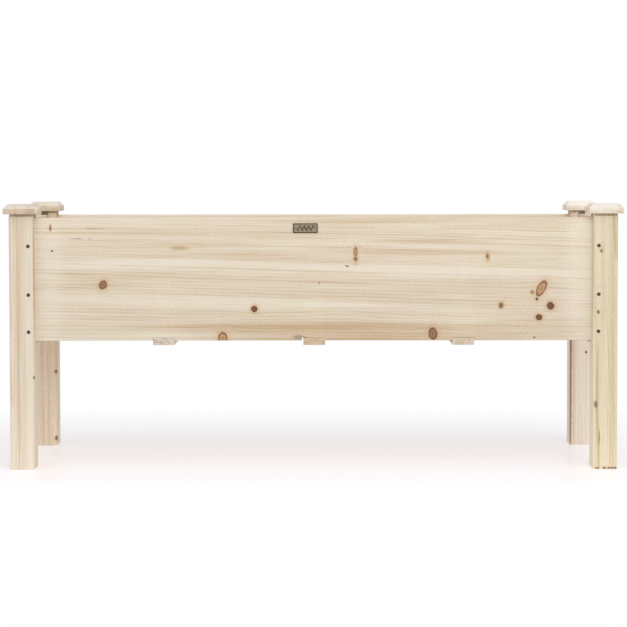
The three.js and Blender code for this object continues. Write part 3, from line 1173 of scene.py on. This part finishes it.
def add_ledger_screws(pattern):
    """One screw at each end of each ledger, driven at a slant into the post beside it."""
    for side, end in (("left", -1), ("right", 1)):
        low, high = box_of("floor_ledger_" + side)
        ledger = bpy.data.objects["floor_ledger_" + side + "_fine"]
        face = high.x if end < 0 else low.x
        for name, way, edge in (("front", -1, low.y), ("rear", 1, high.y)):
            head = Vector((face + end * 0.0012, edge - way * 0.017, (low.z + high.z) / 2))
            direction = Vector((end * 0.55, way * 0.835, 0.0)).normalized()
            carve(ledger, [countersink(head, direction)])
            screw = add_screw(f"ledger_screw_{side}_{name}", pattern, head, direction, 0.8)
            place(screw, "screw_steel")


def build_planter():
    steel = metal("bronzed_steel", (86, 71, 55), 41.0)
    patterns = {"panel": screw_mesh(0.050, steel), "batten": screw_mesh(0.045, steel)}
    ledger_pattern = screw_mesh(0.036, steel)
    placed = add_screws(patterns)

    def screws_in(*words):
        return [screw for node, screw in placed.items() if all(word in node for word in words)]

    for index, corner in enumerate(POST_PITHS):
        add_post(corner, screws_in(corner))
        add_cap(corner, 11.0 + index)
        dowel = frame["nodes"]["cap_dowel_" + corner]
        low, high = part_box("cap_dowel_" + corner)
        centre = ((low[0] + high[0]) / 2 + 0.002, (low[1] + high[1]) / 2)
        dowel.data.materials.clear()
        dowel.data.materials.append(fir(
            "beech_dowel_" + corner, "zxy", log_rings(centre, 0.0021), 15.0 + index,
            light=(214, 178, 134), dark=(178, 134, 90),
        ))

    front = fir(
        "fir_front_panel", "xzy", front_rings, 21.0,
        knots=FRONT_KNOTS, patches=FRONT_PATCHES, line_strength=front_line_strength, fine=1.3,
    )
    rear = fir(
        "fir_rear_panel", "xzy", log_rings((0.585, 0.13), 0.0062, lean=(0.012, 0.05)), 22.0,
        knots=REAR_KNOTS, patches=REAR_PATCHES, light=(243, 236, 223), dark=(213, 193, 164),
    )
    add_long_panel("front_panel", front, screws_in("batten", "front"), 21.0)
    add_long_panel("rear_panel", rear, screws_in("batten", "rear"), 22.0)
    for index, side in enumerate(("left", "right")):
        add_end_panel(side, 23.0 + index)
        add_ledger(side, 36.0 + index)
    for index, position in enumerate(BATTENS):
        add_batten(position, 30.0 + index, screws_in("batten", position))
    for index in range(1, 6):
        add_floor_board(index, 60.0 + index)
    add_floor_nails(steel)
    add_ledger_screws(ledger_pattern)
    add_name_plate()


# ---- Studio ----

FLOOR_GAP = 0.0002


def add_floor():
    """A pale floor that glows a little, and fades into the white surroundings."""
    mesh = bmesh.new()
    bmesh.ops.create_circle(mesh, cap_ends=True, segments=96, radius=3.0)
    space = Space("studio_floor", "xyz", 71.0)
    cloud = space.noise((1.2, 1.2, 1.2), detail=2.0)
    floor = to_object("studio_floor", mesh, space.material)
    floor.location.z = -FLOOR_GAP
    shader = space.tree.nodes.new("ShaderNodeBsdfPrincipled")
    colour = space.mix((cloud + 0.5).limited(), srgb((225, 223, 230)), srgb((227, 225, 231)))
    plug(space.tree, shader.inputs["Base Color"], colour)
    shader.inputs["Roughness"].default_value = 0.30
    shader.inputs["Specular IOR Level"].default_value = 0.30
    shader.inputs["Emission Color"].default_value = (1.0, 0.99, 0.99, 1.0)
    shader.inputs["Emission Strength"].default_value = 0.305
    clear = space.tree.nodes.new("ShaderNodeBsdfTransparent")
    blend = space.tree.nodes.new("ShaderNodeMixShader")
    shown = space.across.ramp(-0.54, -0.42) * space.across.ramp(1.30, 0.25)
    shown = shown * space.along.ramp(-1.9, -1.0) * space.along.ramp(1.9, 1.0)
    plug(space.tree, blend.inputs[0], shown)
    space.tree.links.new(clear.outputs[0], blend.inputs[1])
    space.tree.links.new(shader.outputs[0], blend.inputs[2])
    output = space.tree.nodes.new("ShaderNodeOutputMaterial")
    space.tree.links.new(blend.outputs[0], output.inputs["Surface"])


def add_area_light(name, location, target, size, power):
    data = bpy.data.lights.new(name, "AREA")
    data.shape = "DISK"
    data.size = size
    data.energy = power
    lamp = bpy.data.objects.new(name, data)
    bpy.context.scene.collection.objects.link(lamp)
    lamp.location = location
    lamp.rotation_euler = (Vector(target) - Vector(location)).to_track_quat("-Z", "Y").to_euler()


def add_world():
    """White to the camera, and a dimmer white as light."""
    world = bpy.data.worlds.new("studio")
    bpy.context.scene.world = world
    world.use_nodes = True
    tree = world.node_tree
    tree.nodes.clear()
    path = tree.nodes.new("ShaderNodeLightPath")
    seen = tree.nodes.new("ShaderNodeBackground")
    seen.inputs["Color"].default_value = (1.0, 1.0, 1.0, 1.0)
    seen.inputs["Strength"].default_value = 1.0
    lit = tree.nodes.new("ShaderNodeBackground")
    lit.inputs["Color"].default_value = (1.0, 0.99, 0.98, 1.0)
    lit.inputs["Strength"].default_value = 0.64
    blend = tree.nodes.new("ShaderNodeMixShader")
    tree.links.new(path.outputs["Is Camera Ray"], blend.inputs[0])
    tree.links.new(lit.outputs[0], blend.inputs[1])
    tree.links.new(seen.outputs[0], blend.inputs[2])
    output = tree.nodes.new("ShaderNodeOutputWorld")
    tree.links.new(blend.outputs[0], output.inputs["Surface"])


def add_camera():
    data = bpy.data.cameras.new("camera")
    data.lens = CAMERA_LENS
    data.sensor_width = 36.0
    data.shift_y = CAMERA_SHIFT
    camera = bpy.data.objects.new("camera", data)
    bpy.context.scene.collection.objects.link(camera)
    camera.location = (CAMERA_ASIDE, CAD_BOX[0][1] - CAMERA_TO_FRONT, CAMERA_HEIGHT)
    turn = Matrix.Rotation(CAMERA_YAW, 3, "Z") @ Matrix.Rotation(math.pi / 2 - CAMERA_PITCH, 3, "X")
    camera.rotation_euler = (turn @ Matrix.Rotation(CAMERA_ROLL, 3, "Z")).to_euler()
    bpy.context.scene.camera = camera


def build_studio():
    middle = (0.0, 0.0, 0.45)
    add_floor()
    add_world()
    add_area_light("key", (1.8, -7.4, 4.2), middle, 5.0, 135.0)
    add_area_light("fill_right", (5.5, -4.5, 3.0), middle, 4.0, 32.0)
    add_area_light("fill_left", (-5.5, -4.5, 3.0), middle, 4.0, 32.0)
    add_area_light("top", (0.3, -1.8, 4.6), middle, 4.0, 48.0)
    add_camera()
    bpy.context.scene.view_settings.view_transform = "Standard"


build_planter()
build_studio()
